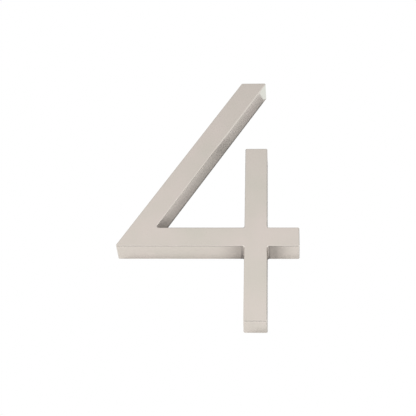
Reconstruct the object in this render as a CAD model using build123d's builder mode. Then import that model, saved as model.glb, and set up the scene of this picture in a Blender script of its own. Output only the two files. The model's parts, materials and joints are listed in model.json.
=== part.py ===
from build123d import *
import os
from math import hypot, radians, sin, tan

# House number: a figure 4 with an open top, cast in one piece, with blind tapped holes in its back
# for the studs that fix it to a wall. It hangs in the plane of the wall: X runs to the right, Z runs
# up, the back lies on the wall at Y = 0 and the face looks along -Y. The origin is on the back, where
# the middle of the stem crosses the middle of the bar. Sizes are in millimetres, angles in degrees.

# Figure, as its front face shows it
figure_height = 101.6  # foot of the stem to the flat top of the diagonal, a 4 inch number
stroke = 8.2  # width of the stem and of the diagonal, each measured square to its own edges
bar_height = 7.7  # the level bar is a little lighter than the other two strokes
stem_height = 70.9
foot_to_bar = 29.2  # foot of the stem to the underside of the bar
bar_reach = 15.6  # middle of the stem to the right end of the bar
tip_reach = 3.75  # middle of the stem to the sharp tip at the top of the diagonal
diagonal_slope = 58.3  # angle of the diagonal above the level

# Casting
depth = 9.7  # wall to front face
draft_angle = 0.8  # every side flares by this much from the face to the back
outer_corner = 0.5  # rounding of the corners that stand out, seen from the front
inner_corner = 0.6  # rounding of the corners between two strokes
face_round = 0.35  # soft edge all round the front face
back_break = 0.15  # small chamfer all round the back

# Blind tapped holes for the studs, M4 x 0.7
thread_diameter = 4.0
thread_pitch = 0.7
drill_point = 118.0
metal_over_drill = 1.7  # left between the point of the drill and the front face
mouth_chamfer = 0.35
stud_inset = 12.7  # middle of each hole below the top, and above the foot

# Derived sizes
bar_top = bar_height / 2
bar_foot = -bar_height / 2
foot = bar_foot - foot_to_bar
top = foot + figure_height
slope = radians(diagonal_slope)
diagonal_level_width = stroke / sin(slope)
drill_radius = (thread_diameter - thread_pitch) / 2
point_height = drill_radius / tan(radians(drill_point / 2))
drilled_depth = depth - metal_over_drill - point_height


def diagonal_inside(height):
    """X of the diagonal's right hand edge at a height, on the front face."""
    return tip_reach - (top - height) / tan(slope)


def stud_positions():
    """Middle of the tapped holes on the back: one in the diagonal, one in the stem."""
    upper = top - stud_inset
    lower = foot + stud_inset
    return [(diagonal_inside(upper) - diagonal_level_width / 2, upper), (0.0, lower)]


def runs_through(edge):
    """True for a straight edge that runs from the back to the face."""
    return edge.geom_type == GeomType.LINE and abs(edge.tangent_at(0).Y) > 0.9


def between_strokes(edge):
    """True at the inner corners: where the bar crosses the stem, and where it leaves the diagonal."""
    crossing = [(side * stroke / 2, level) for side in (-1, 1) for level in (bar_foot, bar_top)]
    place = edge.center()
    return any(
        hypot(place.X - across, place.Z - up) < 2.0
        for across, up in crossing + [(diagonal_inside(bar_top), bar_top)]
    )


front = Plane.XZ.offset(depth)

with BuildPart() as figure:
    # Three strokes of one face, drawn at the front where the sizes are given
    with BuildSketch(front):
        with Locations((0, foot)):
            Rectangle(stroke, stem_height, align=(Align.CENTER, Align.MIN))
        bar_start = diagonal_inside(bar_foot)
        with Locations((bar_start, 0)):
            Rectangle(bar_reach - bar_start, bar_height, align=(Align.MIN, Align.CENTER))
        Polygon(
            (bar_start - diagonal_level_width, bar_foot),
            (bar_start, bar_foot),
            (tip_reach, top),
            (tip_reach - diagonal_level_width, top),
            align=None,
        )
    extrude(amount=-depth)

    # Draft, so that the sides flare towards the wall
    sides = figure.faces().filter_by(Axis.Y, reverse=True)
    draft(sides, neutral_plane=front, angle=draft_angle)

    # Corners that run from the back to the face
    fillet(figure.edges().filter_by(runs_through).filter_by(between_strokes), radius=inner_corner)
    standing_out = [e for e in figure.edges().filter_by(runs_through) if not between_strokes(e)]
    fillet(standing_out, radius=outer_corner)

    # Soft edge round the face, broken edge round the back
    fillet(figure.faces().sort_by(Axis.Y)[0].edges(), radius=face_round)
    chamfer(figure.faces().sort_by(Axis.Y)[-1].edges(), length=back_break)

    # Stud holes: tapping drill with its point, and a small countersink at the mouth
    for across, up in stud_positions():
        with Locations(Plane(origin=(across, 0, up), x_dir=(-1, 0, 0), z_dir=(0, 1, 0))):
            CounterSinkHole(
                radius=drill_radius,
                counter_sink_radius=drill_radius + mouth_chamfer,
                depth=drilled_depth,
                counter_sink_angle=90,
            )
            with Locations((0, 0, -drilled_depth)):
                Cone(
                    bottom_radius=0,
                    top_radius=drill_radius,
                    height=point_height,
                    align=(Align.CENTER, Align.CENTER, Align.MAX),
                    mode=Mode.SUBTRACT,
                )

figure.part.label = "figure_four"
os.makedirs("parts", exist_ok=True)
export_step(figure.part, "parts/figure_four.step")
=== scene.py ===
import json
from math import atan2, cos, hypot, radians, sin, tau

import bmesh
import bpy
from mathutils import Matrix, Vector


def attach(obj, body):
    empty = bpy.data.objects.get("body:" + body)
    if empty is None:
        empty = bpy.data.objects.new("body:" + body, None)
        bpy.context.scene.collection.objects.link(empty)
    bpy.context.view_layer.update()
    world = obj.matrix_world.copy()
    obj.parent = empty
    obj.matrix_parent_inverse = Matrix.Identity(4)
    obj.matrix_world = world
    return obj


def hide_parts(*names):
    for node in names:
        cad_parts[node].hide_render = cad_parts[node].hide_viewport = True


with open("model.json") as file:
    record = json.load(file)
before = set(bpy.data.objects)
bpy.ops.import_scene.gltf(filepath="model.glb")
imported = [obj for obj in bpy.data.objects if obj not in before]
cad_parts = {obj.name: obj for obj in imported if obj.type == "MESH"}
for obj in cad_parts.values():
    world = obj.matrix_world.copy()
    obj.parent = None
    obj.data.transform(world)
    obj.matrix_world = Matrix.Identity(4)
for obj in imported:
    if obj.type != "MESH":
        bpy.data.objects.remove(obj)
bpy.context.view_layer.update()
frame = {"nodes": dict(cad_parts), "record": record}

# The number is a solid with two drilled holes in its back. Here it gets its thread and its finish.
# Lengths are in metres.
number = frame["nodes"]["figure_four"]


def new_object(name, data):
    made = bpy.data.objects.new(name, data)
    bpy.context.scene.collection.objects.link(made)
    return made


# Camera: below the number and a little to its right, looking up at it

CAMERA_PLACE = Vector((0.00611, -0.33898, -0.18278))
PITCH = radians(30.53)
YAW = radians(-4.1)
ROLL = radians(1.97)
FOCAL_PIXELS = 1050.8
FRAME_PIXELS = 416
SENSOR_MM = 36.0


def add_camera():
    forward = Vector((sin(YAW) * cos(PITCH), cos(YAW) * cos(PITCH), sin(PITCH)))
    level = Vector((cos(YAW), -sin(YAW), 0.0))
    upright = level.cross(forward)
    across = cos(ROLL) * level + sin(ROLL) * upright
    up = cos(ROLL) * upright - sin(ROLL) * level
    data = bpy.data.cameras.new("camera")
    data.sensor_width = SENSOR_MM
    data.lens = FOCAL_PIXELS / FRAME_PIXELS * SENSOR_MM
    camera = new_object("camera", data)
    turn = Matrix((across, up, -forward)).transposed().to_4x4()
    camera.matrix_world = Matrix.Translation(CAMERA_PLACE) @ turn
    bpy.context.scene.camera = camera


# Node helpers


def new_material(name):
    material = bpy.data.materials.new(name)
    material.use_nodes = True
    material.node_tree.nodes.clear()
    return material, material.node_tree


def node(tree, kind, **settings):
    """A node whose settings are its own attributes, or its input sockets by name."""
    made = tree.nodes.new(kind)
    for key, value in settings.items():
        if hasattr(made, key):
            setattr(made, key, value)
        else:
            made.inputs[key.replace("_", " ")].default_value = value
    return made


def join(tree, source, target):
    tree.links.new(source, target)


def to_output(tree, shader, kind="ShaderNodeOutputMaterial"):
    output = node(tree, kind)
    join(tree, shader.outputs[0], output.inputs["Surface"])


def absolute(tree, source):
    size = node(tree, "ShaderNodeMath", operation="ABSOLUTE")
    join(tree, source, size.inputs[0])
    return size.outputs[0]


def remap(tree, source, before, after=(0.0, 1.0), **settings):
    """The source's range before, stretched to the range after and held at its ends."""
    stretch = node(tree, "ShaderNodeMapRange", From_Min=before[0], From_Max=before[1], **settings)
    stretch.inputs["To Min"].default_value, stretch.inputs["To Max"].default_value = after
    join(tree, source, stretch.inputs["Value"])
    return stretch.outputs["Result"]


def grey_ramp(tree, source, levels, **settings):
    """Grey levels along the source, each given at its place from 0 to 1."""
    ramp = node(tree, "ShaderNodeValToRGB")
    for key, value in settings.items():
        setattr(ramp.color_ramp, key, value)
    stops = ramp.color_ramp.elements
    while len(stops) < len(levels):
        stops.new(1.0)
    for stop, (place, level) in zip(stops, levels.items()):
        stop.position = place
        stop.color = (level, level, level, 1.0)
    join(tree, source, ramp.inputs["Fac"])
    return ramp.outputs["Color"]


def plain_material(name, colour):
    material, tree = new_material(name)
    to_output(tree, node(tree, "ShaderNodeBsdfDiffuse", Color=(*colour, 1.0)))
    return material


# Satin nickel

# The plating drifts in clouds of about 17 mm, from a cooler, duller tint to a warmer, brighter one as
# the clouds' noise rises over this range
COOL_NICKEL = (0.628, 0.590, 0.528)
WARM_NICKEL = (0.682, 0.612, 0.566)
CLOUDS_PER_METRE = 60.0
CLOUD_RANGE = (0.3, 0.7)
# Rounded edges painted brighter, a painted highlight along them
EDGE_HIGHLIGHT_NICKEL = (0.73, 0.68, 0.63)
# From the sides, 0, over the rounded edges to the brushed face, 1: how rough, and how much painted
# highlight
ROUGHNESS = {0.04: 0.18, 0.12: 0.16, 0.90: 0.16, 1.0: 0.30}
PAINTED_EDGE_HIGHLIGHT = {0.04: 0.0, 0.20: 1.0, 0.90: 1.0, 0.99: 0.0}
# Brushed grain: the size of a streak and its depth
STREAK_WIDTH, STREAK_LENGTH = 0.00011, 0.0029
GRAIN_DEPTH = 0.00002
# How strongly the grain shows on the sides and on the face, and where it goes from one to the other
GRAIN_SHOWN = (0.08, 0.20)
SIDES_TO_FACE = (0.3, 0.9)
# How far the roughness drifts as the grain's noise rises over its range
GRAIN_RANGE = (0.25, 0.75)
ROUGHNESS_DRIFT = (-0.03, 0.03)
# The grain is upright on the face and on upright sides. It takes on these leans, in degrees, as the
# surface looks up or down by these shares: along the diagonal on its own sides, and level under and
# over the bar.
DIAGONAL_LEAN = 31.7
LEANS = {DIAGONAL_LEAN: (0.25, 0.40), 90.0: (0.65, 0.80)}


def nickel_colour(tree, place, front):
    cloud = node(tree, "ShaderNodeTexNoise", Scale=CLOUDS_PER_METRE, Detail=3.0, Roughness=0.5)
    join(tree, place, cloud.inputs["Vector"])
    plating = node(tree, "ShaderNodeMix", data_type="RGBA")
    plating.inputs["A"].default_value = (*COOL_NICKEL, 1.0)
    plating.inputs["B"].default_value = (*WARM_NICKEL, 1.0)
    join(tree, remap(tree, cloud.outputs["Fac"], CLOUD_RANGE), plating.inputs["Factor"])
    # Painted highlight: the rounded edges mix towards a brighter nickel
    highlighted = node(tree, "ShaderNodeMix", data_type="RGBA")
    highlighted.inputs["B"].default_value = (*EDGE_HIGHLIGHT_NICKEL, 1.0)
    join(tree, plating.outputs["Result"], highlighted.inputs["A"])
    join(tree, grey_ramp(tree, front, PAINTED_EDGE_HIGHLIGHT), highlighted.inputs["Factor"])
    return highlighted.outputs["Result"]


def streaks(tree, place, lean):
    along = node(tree, "ShaderNodeMapping", vector_type="TEXTURE")
    along.inputs["Rotation"].default_value = (0.0, radians(lean), 0.0)
    along.inputs["Scale"].default_value = (STREAK_WIDTH, STREAK_WIDTH, STREAK_LENGTH)
    grain = node(tree, "ShaderNodeTexNoise", Scale=1.0, Detail=2.0)
    join(tree, place, along.inputs["Vector"])
    join(tree, along.outputs["Vector"], grain.inputs["Vector"])
    return grain.outputs["Fac"]


def nickel_grain(tree, place, up_or_down):
    grain = streaks(tree, place, 0.0)
    for lean, shares in LEANS.items():
        blend = node(tree, "ShaderNodeMix", data_type="FLOAT")
        join(tree, remap(tree, up_or_down, shares), blend.inputs["Factor"])
        join(tree, grain, blend.inputs["A"])
        join(tree, streaks(tree, place, lean), blend.inputs["B"])
        grain = blend.outputs["Result"]
    return grain


def satin_nickel():
    material, tree = new_material("satin_nickel")
    surface = node(tree, "ShaderNodeBsdfPrincipled", Metallic=1.0)
    where = node(tree, "ShaderNodeTexCoord")
    place = where.outputs["Object"]
    facing = node(tree, "ShaderNodeSeparateXYZ")
    join(tree, where.outputs["Normal"], facing.inputs["Vector"])
    front = absolute(tree, facing.outputs["Y"])
    up_or_down = absolute(tree, facing.outputs["Z"])
    join(tree, nickel_colour(tree, place, front), surface.inputs["Base Color"])

    grain = nickel_grain(tree, place, up_or_down)
    bump = node(tree, "ShaderNodeBump", Distance=GRAIN_DEPTH)
    join(tree, grain, bump.inputs["Height"])
    join(tree, remap(tree, front, SIDES_TO_FACE, GRAIN_SHOWN), bump.inputs["Strength"])
    join(tree, bump.outputs["Normal"], surface.inputs["Normal"])

    rough = node(tree, "ShaderNodeMath", operation="ADD")
    join(tree, grey_ramp(tree, front, ROUGHNESS), rough.inputs[0])
    join(tree, remap(tree, grain, GRAIN_RANGE, ROUGHNESS_DRIFT), rough.inputs[1])
    join(tree, rough.outputs[0], surface.inputs["Roughness"])
    to_output(tree, surface)
    return material


# Thread of the tapped holes, M4 x 0.7

# It is cut outwards into the drilled wall, with 60 degree flanks. It starts in the countersink and
# runs out before the bottom of the hole.
THREAD_PITCH = 0.0007
THREAD_CUT = 0.00035
# One turn of the profile: share of the pitch, share of the cut
THREAD_PROFILE = ((0.0, 0.0), (0.298, 0.0), (0.586, 1.0), (0.712, 1.0))
# In pitches: where the cut grows and fades, the bare wall at the bottom, and the least face kept
RUN_IN, RUN_OUT, BARE_BOTTOM, LEAST = 0.5, 1.0, 1.3, 0.1
# Points this close count as one, and a face below this area is left out
NEAR = 2e-6
NO_AREA = 1e-13


def round_axis(axis, point):
    """Distance and angle of a point round a hole that runs along Y."""
    across, up = point[0] - axis[0], point[2] - axis[2]
    return hypot(across, up), atan2(up, across) % tau


def take_wall(shape, axis, radius):
    """Takes out the plain wall of a drilled hole and returns its two rims, bottom first."""
    wall = [
        face
        for face in shape.faces
        if all(abs(round_axis(axis, v.co)[0] - radius) < NEAR for v in face.verts)
        and max(v.co.y for v in face.verts) - min(v.co.y for v in face.verts) > THREAD_PITCH
    ]
    rims = {}
    for corner in {v for face in wall for v in face.verts}:
        place = tuple(round(c / NEAR) for c in corner.co)
        rims.setdefault(place[1], {})[place] = tuple(corner.co)
    bmesh.ops.delete(shape, geom=wall, context="FACES")
    return [
        sorted(rims[level].values(), key=lambda p: round_axis(axis, p)[1]) for level in sorted(rims)
    ]


def cut_thread(shape, axis, radius):
    """Swaps the plain wall of a drilled hole for a right hand thread between the same two rims."""
    bottom, mouth = take_wall(shape, axis, radius)
    end, top = bottom[0][1], mouth[0][1]
    turns = range(-1, int((top - end) / THREAD_PITCH) + 2)
    rows = [(turn + share, cut) for turn in turns for share, cut in THREAD_PROFILE]
    columns = []
    for high, low in zip(mouth, bottom):
        angle = round_axis(axis, high)[1]
        column = []
        for turn, cut in rows:
            y = top - (turn + angle / tau) * THREAD_PITCH
            if y > top - LEAST * THREAD_PITCH:
                place = high
            elif y < end + LEAST * THREAD_PITCH:
                place = low
            else:
                begun = (top - y) / (RUN_IN * THREAD_PITCH)
                left = (y - end - BARE_BOTTOM * THREAD_PITCH) / (RUN_OUT * THREAD_PITCH)
                away = radius + THREAD_CUT * cut * max(0.0, min(1.0, begun, left))
                place = (axis[0] + away * cos(angle), y, axis[2] + away * sin(angle))
            column.append(shape.verts.new(place))
        columns.append(column)

    # Each column joins the next, and the last joins the first one a turn further on
    material = next(iter(shape.faces)).material_index
    for here, there in zip(columns, columns[1:] + [columns[0][len(THREAD_PROFILE) :]]):
        for row in range(len(there) - 1):
            face = shape.faces.new((here[row], here[row + 1], there[row + 1], there[row]))
            face.smooth = True
            face.material_index = material
    made = [corner for column in columns for corner in column]
    bmesh.ops.remove_doubles(shape, verts=made, dist=NEAR)
    loose = [corner for corner in shape.verts if not corner.link_faces]
    bmesh.ops.delete(shape, geom=loose, context="VERTS")


def dress_number():
    """The number with its holes tapped and in its finish. It stands for the solid."""
    shape = bmesh.new()
    shape.from_mesh(number.data)
    for mount in frame["record"]["mounts"]:
        if mount["kind"] == "threaded_hole":
            cut_thread(shape, mount["pos_m"], mount["dims"]["r_mm"] / 1000)
    empty = [face for face in shape.faces if face.calc_area() < NO_AREA]
    bmesh.ops.delete(shape, geom=empty, context="FACES")
    mesh = bpy.data.meshes.new("figure_four_tapped")
    shape.to_mesh(mesh)
    shape.free()
    mesh.materials.append(satin_nickel())
    tapped = new_object("figure_four_tapped", mesh)
    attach(tapped, "root")
    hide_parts("figure_four")


# Stage

FLOOR = (0.90, 0.896, 0.89)
FLOOR_LEVEL = -1.2
FLOOR_REACH = 40.0
WALL = (0.40, 0.398, 0.396)
WALL_REACH = 0.6
# Corners this close are one, and faces this close to the wall lie on it
SAME_CORNER = 1e-7
ON_WALL = 1e-5


def stage_piece(name, mesh, material):
    """A mesh of the stage in its material."""
    mesh.materials.append(material)
    piece = new_object(name, mesh)
    return piece


def stage_card(name, corners, material):
    """A flat card of the stage."""
    mesh = bpy.data.meshes.new(name)
    mesh.from_pydata(corners, [], [tuple(range(len(corners)))])
    return stage_piece(name, mesh, material)


def back_outline():
    """The corners of the number's outline on the wall, in order round it."""
    shape = bmesh.new()
    shape.from_mesh(number.data)
    bmesh.ops.remove_doubles(shape, verts=shape.verts, dist=SAME_CORNER)
    flat = {f for f in shape.faces if all(abs(v.co.y) < ON_WALL for v in f.verts)}
    rim = [e for e in shape.edges if len([f for f in e.link_faces if f in flat]) == 1]
    loops = []
    while rim:
        edge = rim.pop()
        start, here = edge.verts
        loop = [start.co.copy()]
        while here is not start:
            loop.append(here.co.copy())
            step = next(e for e in rim if here in e.verts)
            rim.remove(step)
            here = step.other_vert(here)
        loops.append(loop)
    shape.free()
    return max(loops, key=lambda loop: max(p.x for p in loop) - min(p.x for p in loop))


def add_floor():
    reach = FLOOR_REACH
    corners = [(-reach, -reach), (reach, -reach), (reach, reach), (-reach, reach)]
    paint = plain_material("floor_paint", FLOOR)
    stage_card("floor", [(x, y, FLOOR_LEVEL) for x, y in corners], paint)


def add_wall():
    """Wall round the number, cut out where the number lies on it. The number's sides show it, and the
    back stays open to the light from behind. The camera doesn't see it."""
    wall = bmesh.new()
    low, high, reach = FLOOR_LEVEL, WALL_REACH, WALL_REACH
    ends = [(-reach, low), (reach, low), (reach, high), (-reach, high)]
    edges = []
    for ring in (ends, [(p.x, p.z) for p in back_outline()]):
        corners = [wall.verts.new((x, 0.0, z)) for x, z in ring]
        edges += [wall.edges.new((a, b)) for a, b in zip(corners, corners[1:] + corners[:1])]
    bmesh.ops.triangle_fill(wall, edges=edges, use_beauty=True, normal=(0, -1, 0))
    mesh = bpy.data.meshes.new("wall")
    wall.to_mesh(mesh)
    wall.free()
    stage_piece("wall", mesh, plain_material("wall_paint", WALL)).visible_camera = False


# Cards that show in the metal alone

FLAG = (0.02, 0.02, 0.02)
# Half the width of the black card below, its reach out from the wall, and how far down it lies
FLAG_HALF, FLAG_REACH, FLAG_DROP = 0.30, 0.25, 0.30
# Where the black card to the right stands, its reach out from the wall, and its lower and upper edge
RIGHT_FLAG_X, RIGHT_FLAG_REACH, RIGHT_FLAG_Z = 0.30, 0.20, (0.10, 0.26)
# A glowing card on the wall beside the tip: painted light on the wall, shown by the metal alone as the
# bright patch on the underside of the diagonal's tip
LIT_PATCH = (0.93, 1.0, 0.99)
LIT_PATCH_GLOW = 1.12
LIT_PATCH_X, LIT_PATCH_Z = (0.0036, 0.0200), (0.0668, 0.0850)
SHADE = (0.24, 0.24, 0.24)
# Each shadow line: its top end, its bottom end, and its widths there, counted to the right
SHADES = {
    "shade_diagonal": ((0.00233, 0.0660), (-0.03565, 0.0045), 0.0006, 0.0006),
    "shade_foot_left": ((-0.00425, -0.0040), (-0.00425, -0.0150), -0.0014, -0.0005),
    "shade_foot_right": ((0.00425, -0.0040), (0.00425, -0.0130), 0.0010, 0.0001),
}
# Both lie just in front of the wall
SHADE_Y, LIT_PATCH_Y = -0.0001, -0.0002


def add_card(name, corners, material):
    """A card of the stage that shows in the metal, and neither to the camera nor in light or shadow."""
    card = stage_card(name, corners, material)
    card.visible_camera = False
    card.visible_diffuse = False
    card.visible_shadow = False


def add_flags():
    """Black cards below and to the right. They draw the dark lines along the rounded front edges."""
    cloth = plain_material("flag_cloth", FLAG)
    half, back, down = FLAG_HALF, -FLAG_REACH, -FLAG_DROP
    corners = [(-half, back, down), (half, back, down), (half, 0, down), (-half, 0, down)]
    add_card("flag", corners, cloth)
    side, back = RIGHT_FLAG_X, -RIGHT_FLAG_REACH
    low, high = RIGHT_FLAG_Z
    corners = [(side, back, low), (side, 0, low), (side, 0, high), (side, back, high)]
    add_card("flag_right", corners, cloth)


def add_lit_patch():
    """Glowing card on the wall beside the tip, painted light for the underside of the diagonal to show.
    """
    material, tree = new_material("painted_light_card")
    material.cycles.emission_sampling = "NONE"
    colour = (*LIT_PATCH, 1.0)
    to_output(tree, node(tree, "ShaderNodeEmission", Color=colour, Strength=LIT_PATCH_GLOW))
    y = LIT_PATCH_Y
    (left, right), (low, high) = LIT_PATCH_X, LIT_PATCH_Z
    corners = [(left, y, low), (right, y, low), (right, y, high), (left, y, high)]
    add_card("painted_light_patch", corners, material)


def add_shades():
    """Dark strips on the wall, as the shadow lines where the number meets it."""
    paint = plain_material("shade_paint", SHADE)
    y = SHADE_Y
    for name, ((x0, z0), (x1, z1), top, bottom) in SHADES.items():
        corners = [(x0, y, z0), (x0 + top, y, z0), (x1 + bottom, y, z1), (x1, y, z1)]
        add_card(name, corners, paint)


# Light

LAMP_DISTANCE = 1.1
LAMP_SIZE = 0.5
# Each lamp: its turn round the number in degrees, counted from the right hand side up over the top,
# how many degrees it stands off the line straight in front of the number, and its watts
LAMPS = {"left": (180, 30, 13.6), "low_right": (315, 40, 11.2)}
TENT_RADIUS = 1.5
TENT_SEGMENTS, TENT_RINGS = 48, 24
# Strength of the cloth at heights from the bottom of the ball, 0, to its top, 1
TENT_GLOW = {
    0.0: 0.2,
    0.14: 0.2,
    0.22: 1.5,
    0.34: 1.5,
    0.46: 1.12,
    0.62: 1.12,
    0.71: 1.09,
    0.80: 0.86,
    0.93: 0.6,
}
TENT_BRIGHTEST = max(TENT_GLOW.values())
# Towards the sides, between these shares of the radius, the cloth falls to this share of its glow
TENT_SIDE = 0.80
TENT_FALL = (0.3, 0.9)
# Strength of the room as light on the stage, and where it is seen itself
ROOM_LIGHT, ROOM_SEEN = 0.9, 1.0
WHITE = (1.0, 1.0, 1.0, 1.0)


def add_lamp(name, turn, off, power):
    """A soft square lamp that lights the wall. The metal shows the tent and the wall, not the lamp."""
    round_it, aside = radians(turn), radians(off)
    place = LAMP_DISTANCE * Vector(
        (sin(aside) * cos(round_it), -cos(aside), sin(aside) * sin(round_it))
    )
    data = bpy.data.lights.new(name, "AREA")
    data.shape = "SQUARE"
    data.size = LAMP_SIZE
    data.energy = power
    lamp = new_object(name, data)
    lamp.location = place
    lamp.rotation_euler = (-place).to_track_quat("-Z", "Y").to_euler()
    lamp.visible_glossy = False


def tent_cloth():
    """Lit cloth: brightest low down, dark at the very bottom, dimmer overhead and to the sides."""
    material, tree = new_material("tent_cloth")
    material.cycles.emission_sampling = "NONE"
    where = node(tree, "ShaderNodeTexCoord")
    parts = node(tree, "ShaderNodeSeparateXYZ")
    join(tree, where.outputs["Object"], parts.inputs["Vector"])
    rise = remap(tree, parts.outputs["Z"], (-TENT_RADIUS, TENT_RADIUS))
    levels = {height: glow / TENT_BRIGHTEST for height, glow in TENT_GLOW.items()}
    across = absolute(tree, parts.outputs["X"])
    fall = [share * TENT_RADIUS for share in TENT_FALL]
    peak = (TENT_BRIGHTEST, TENT_BRIGHTEST * TENT_SIDE)
    strength = node(tree, "ShaderNodeMath", operation="MULTIPLY")
    join(tree, grey_ramp(tree, rise, levels, interpolation="EASE"), strength.inputs[0])
    join(tree, remap(tree, across, fall, peak, interpolation_type="SMOOTHSTEP"), strength.inputs[1])
    glow = node(tree, "ShaderNodeEmission", Color=WHITE)
    join(tree, strength.outputs[0], glow.inputs["Strength"])
    to_output(tree, glow)
    return material


def add_tent():
    """Half a ball of lit cloth in front of the wall. The camera looks through it."""
    ball = bmesh.new()
    bmesh.ops.create_uvsphere(
        ball, u_segments=TENT_SEGMENTS, v_segments=TENT_RINGS, radius=TENT_RADIUS
    )
    away = [v for v in ball.verts if v.co.y > ON_WALL]
    bmesh.ops.delete(ball, geom=away, context="VERTS")
    mesh = bpy.data.meshes.new("tent")
    ball.to_mesh(mesh)
    ball.free()
    stage_piece("tent", mesh, tent_cloth()).visible_camera = False


def add_world():
    """A plain room, white where the camera, the metal or glass sees it."""
    world = bpy.data.worlds.new("studio")
    bpy.context.scene.world = world
    world.use_nodes = True
    tree = world.node_tree
    tree.nodes.clear()
    path = node(tree, "ShaderNodeLightPath")
    seen = path.outputs["Is Camera Ray"]
    for ray in ("Is Glossy Ray", "Is Transmission Ray"):
        either = node(tree, "ShaderNodeMath", operation="MAXIMUM")
        join(tree, seen, either.inputs[0])
        join(tree, path.outputs[ray], either.inputs[1])
        seen = either.outputs[0]
    mix = node(tree, "ShaderNodeMixShader")
    join(tree, seen, mix.inputs[0])
    for socket, strength in zip(mix.inputs[1:], (ROOM_LIGHT, ROOM_SEEN)):
        light = node(tree, "ShaderNodeBackground", Color=WHITE, Strength=strength)
        join(tree, light.outputs[0], socket)
    to_output(tree, mix, kind="ShaderNodeOutputWorld")


add_camera()
dress_number()
add_floor()
add_wall()
add_flags()
add_lit_patch()
add_shades()
for lamp_name, lamp_facts in LAMPS.items():
    add_lamp(lamp_name, *lamp_facts)
add_tent()
add_world()
bpy.context.scene.view_settings.view_transform = "Standard"
